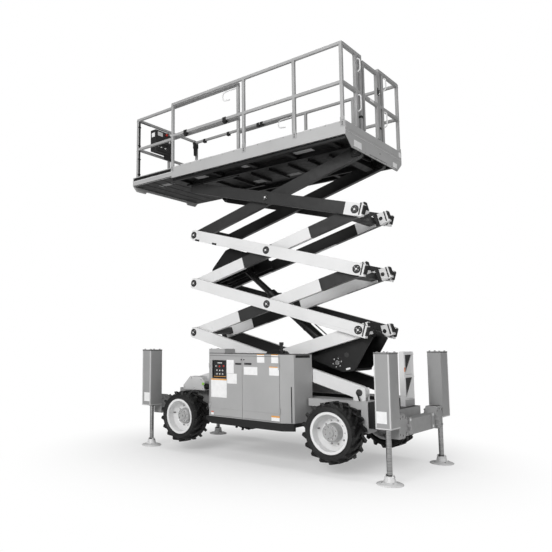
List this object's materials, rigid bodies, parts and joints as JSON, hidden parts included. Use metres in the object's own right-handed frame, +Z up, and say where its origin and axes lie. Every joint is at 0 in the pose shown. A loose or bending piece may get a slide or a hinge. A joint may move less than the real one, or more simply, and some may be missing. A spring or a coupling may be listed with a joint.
{
  "type": "scissor lift",
  "caption": "Self-propelled scissor lift, platform partly raised on stacked crossed arms, standing on four outriggers, with a roll-out deck, guard rails, side pods and lugged tyres.",
  "frame": {"origin": "on the ground under the middle of the overall box", "axes": "+X to the machine's front, +Y to its left side, +Z up"},
  "size_m": [4.186, 1.8, 5.03],
  "materials": {
    "tyre_rubber": "matt lugged rubber",
    "rim_paint": "gloss white",
    "chrome_rod": "polished",
    "foot_paint": "gloss",
    "arm_paint": "satin",
    "black_paint": "satin",
    "dark_rod": "polished",
    "control_plastic": "matt",
    "ladder_paint": "satin",
    "rail_paint": "satin",
    "grey_paint": "satin"
  },
  "bodies": {
    "chassis": {"chassis_frame": "grey_paint", "front_axle": "black_paint", "rear_axle": "black_paint", "pod_left": "grey_paint", "pod_right": "grey_paint", "ground_controls": "control_plastic", "engine_block": "black_paint", "oil_tank": "black_paint", "outrigger_frame_front": "grey_paint", "outrigger_frame_rear": "grey_paint", "ladder": "ladder_paint"},
    "door_left_front": {"door_left_front": "grey_paint"},
    "door_left_rear": {"door_left_rear": "grey_paint"},
    "door_right_front": {"door_right_front": "grey_paint"},
    "door_right_rear": {"door_right_rear": "grey_paint"},
    "jack_front_left": {"jack_rod_front_left": "chrome_rod", "jack_foot_front_left": "foot_paint"},
    "jack_front_right": {"jack_rod_front_right": "chrome_rod", "jack_foot_front_right": "foot_paint"},
    "jack_rear_left": {"jack_rod_rear_left": "chrome_rod", "jack_foot_rear_left": "foot_paint"},
    "jack_rear_right": {"jack_rod_rear_right": "chrome_rod", "jack_foot_rear_right": "foot_paint"},
    "knuckle_left": {"knuckle_left": "black_paint"},
    "knuckle_right": {"knuckle_right": "black_paint"},
    "wheel_front_left": {"tyre_front_left": "tyre_rubber", "rim_front_left": "rim_paint"},
    "wheel_front_right": {"tyre_front_right": "tyre_rubber", "rim_front_right": "rim_paint"},
    "wheel_rear_left": {"tyre_rear_left": "tyre_rubber", "rim_rear_left": "rim_paint"},
    "wheel_rear_right": {"tyre_rear_right": "tyre_rubber", "rim_rear_right": "rim_paint"},
    "outer_1": {"outer_arms_1": "arm_paint"},
    "inner_1": {"inner_arms_1": "arm_paint"},
    "outer_2": {"outer_arms_2": "arm_paint"},
    "inner_2": {"inner_arms_2": "arm_paint"},
    "outer_3": {"outer_arms_3": "arm_paint"},
    "inner_3": {"inner_arms_3": "arm_paint"},
    "outer_4": {"outer_arms_4": "arm_paint"},
    "inner_4": {"inner_arms_4": "arm_paint"},
    "platform": {"platform_deck": "grey_paint", "side_rails": "rail_paint", "rear_rails": "rail_paint"},
    "cylinder_barrel": {"cylinder_barrel": "black_paint"},
    "cylinder_rod": {"cylinder_rod": "dark_rod"},
    "extension": {"extension_deck": "grey_paint", "extension_rails": "rail_paint", "platform_controls": "control_plastic"},
    "gate": {"entry_gate": "rail_paint"}
  },
  "joints": [
    {"name": "door_left_front_hinge", "type": "hinge", "parent": "chassis", "child": "door_left_front", "pos_m": [0.425, 0.874, 0.933], "axis": [0, 0, -1], "range_deg": [0, 100]},
    {"name": "door_left_rear_hinge", "type": "hinge", "parent": "chassis", "child": "door_left_rear", "pos_m": [-0.668, 0.874, 0.933], "axis": [0, 0, 1], "range_deg": [0, 100]},
    {"name": "door_right_front_hinge", "type": "hinge", "parent": "chassis", "child": "door_right_front", "pos_m": [0.425, -0.874, 0.933], "axis": [0, 0, 1], "range_deg": [0, 100]},
    {"name": "door_right_rear_hinge", "type": "hinge", "parent": "chassis", "child": "door_right_rear", "pos_m": [-0.668, -0.874, 0.933], "axis": [0, 0, -1], "range_deg": [0, 100]},
    {"name": "jack_front_left_slide", "type": "slide", "parent": "chassis", "child": "jack_front_left", "axis": [0, 0, 1], "range_m": [-0.1, 0.4]},
    {"name": "jack_front_right_slide", "type": "slide", "parent": "chassis", "child": "jack_front_right", "axis": [0, 0, 1], "range_m": [-0.1, 0.4]},
    {"name": "jack_rear_left_slide", "type": "slide", "parent": "chassis", "child": "jack_rear_left", "axis": [0, 0, 1], "range_m": [-0.1, 0.4]},
    {"name": "jack_rear_right_slide", "type": "slide", "parent": "chassis", "child": "jack_rear_right", "axis": [0, 0, 1], "range_m": [-0.1, 0.4]},
    {"name": "steering", "type": "hinge", "parent": "chassis", "child": "knuckle_left", "pos_m": [0.992, 0.5, 0.471], "axis": [0, 0, 1], "range_deg": [-35, 35]},
    {"name": "steering_right", "type": "hinge", "parent": "chassis", "child": "knuckle_right", "pos_m": [0.992, -0.5, 0.471], "axis": [0, 0, 1], "range_deg": [-35, 35]},
    {"name": "wheel_front_left_spin", "type": "hinge", "parent": "knuckle_left", "child": "wheel_front_left", "pos_m": [0.992, 0.725, 0.471], "axis": [0, 1, 0], "continuous": true},
    {"name": "wheel_front_right_spin", "type": "hinge", "parent": "knuckle_right", "child": "wheel_front_right", "pos_m": [0.992, -0.725, 0.471], "axis": [0, 1, 0], "continuous": true},
    {"name": "wheel_rear_left_spin", "type": "hinge", "parent": "chassis", "child": "wheel_rear_left", "pos_m": [-1.298, 0.725, 0.471], "axis": [0, 1, 0], "continuous": true},
    {"name": "wheel_rear_right_spin", "type": "hinge", "parent": "chassis", "child": "wheel_rear_right", "pos_m": [-1.298, -0.725, 0.471], "axis": [0, 1, 0], "continuous": true},
    {"name": "lift", "type": "hinge", "parent": "chassis", "child": "outer_1", "pos_m": [-1.483, 0, 0.905], "axis": [0, -1, 0], "range_deg": [-12.1, 23.9]},
    {"name": "fold_inner_1", "type": "hinge", "parent": "outer_1", "child": "inner_1", "pos_m": [-0.18995, 0, 1.26602], "axis": [0, -1, 0], "range_deg": [-47.8, 24.2]},
    {"name": "fold_outer_2", "type": "hinge", "parent": "inner_1", "child": "outer_2", "pos_m": [-1.483, 0, 1.62705], "axis": [0, -1, 0], "range_deg": [-24.2, 47.8]},
    {"name": "fold_inner_2", "type": "hinge", "parent": "outer_2", "child": "inner_2", "pos_m": [-0.18995, 0, 1.98808], "axis": [0, -1, 0], "range_deg": [-47.8, 24.2]},
    {"name": "fold_outer_3", "type": "hinge", "parent": "inner_2", "child": "outer_3", "pos_m": [-1.483, 0, 2.3491], "axis": [0, -1, 0], "range_deg": [-24.2, 47.8]},
    {"name": "fold_inner_3", "type": "hinge", "parent": "outer_3", "child": "inner_3", "pos_m": [-0.18995, 0, 2.71012], "axis": [0, -1, 0], "range_deg": [-47.8, 24.2]},
    {"name": "fold_outer_4", "type": "hinge", "parent": "inner_3", "child": "outer_4", "pos_m": [-1.483, 0, 3.07115], "axis": [0, -1, 0], "range_deg": [-24.2, 47.8]},
    {"name": "fold_inner_4", "type": "hinge", "parent": "outer_4", "child": "inner_4", "pos_m": [-0.18995, 0, 3.43217], "axis": [0, -1, 0], "range_deg": [-47.8, 24.2]},
    {"name": "platform_level", "type": "hinge", "parent": "inner_4", "child": "platform", "pos_m": [-1.483, 0, 3.7932], "axis": [0, -1, 0], "range_deg": [-12.1, 23.9]},
    {"name": "cylinder_swing", "type": "hinge", "parent": "inner_1", "child": "cylinder_barrel", "pos_m": [-1.08998, 0, 1.23491], "axis": [0, -1, 0], "range_deg": [-27.23, 53.77]},
    {"name": "cylinder_stroke", "type": "slide", "parent": "cylinder_barrel", "child": "cylinder_rod", "axis": [0.7666, 0, 0.6421], "range_m": [-0.4647, 0.9178]},
    {"name": "deck_extension", "type": "slide", "parent": "platform", "child": "extension", "axis": [1, 0, 0], "range_m": [-0.85, 0]},
    {"name": "gate_hinge", "type": "hinge", "parent": "platform", "child": "gate", "pos_m": [-1.518, 0.285, 4.5], "axis": [0, 0, 1], "range_deg": [0, 90]}
  ],
  "couplings": [
    {"joint": "steering_right", "follows": "steering", "ratio": 1},
    {"joint": "fold_inner_1", "follows": "lift", "ratio": -2},
    {"joint": "fold_outer_2", "follows": "lift", "ratio": 2},
    {"joint": "fold_inner_2", "follows": "lift", "ratio": -2},
    {"joint": "fold_outer_3", "follows": "lift", "ratio": 2},
    {"joint": "fold_inner_3", "follows": "lift", "ratio": -2},
    {"joint": "fold_outer_4", "follows": "lift", "ratio": 2},
    {"joint": "fold_inner_4", "follows": "lift", "ratio": -2},
    {"joint": "platform_level", "follows": "lift", "ratio": 1},
    {"joint": "cylinder_swing", "follows": "lift", "ratio": 2.25},
    {"joint": "cylinder_stroke", "follows": "lift", "m_per_rad": 2.2}
  ]
}
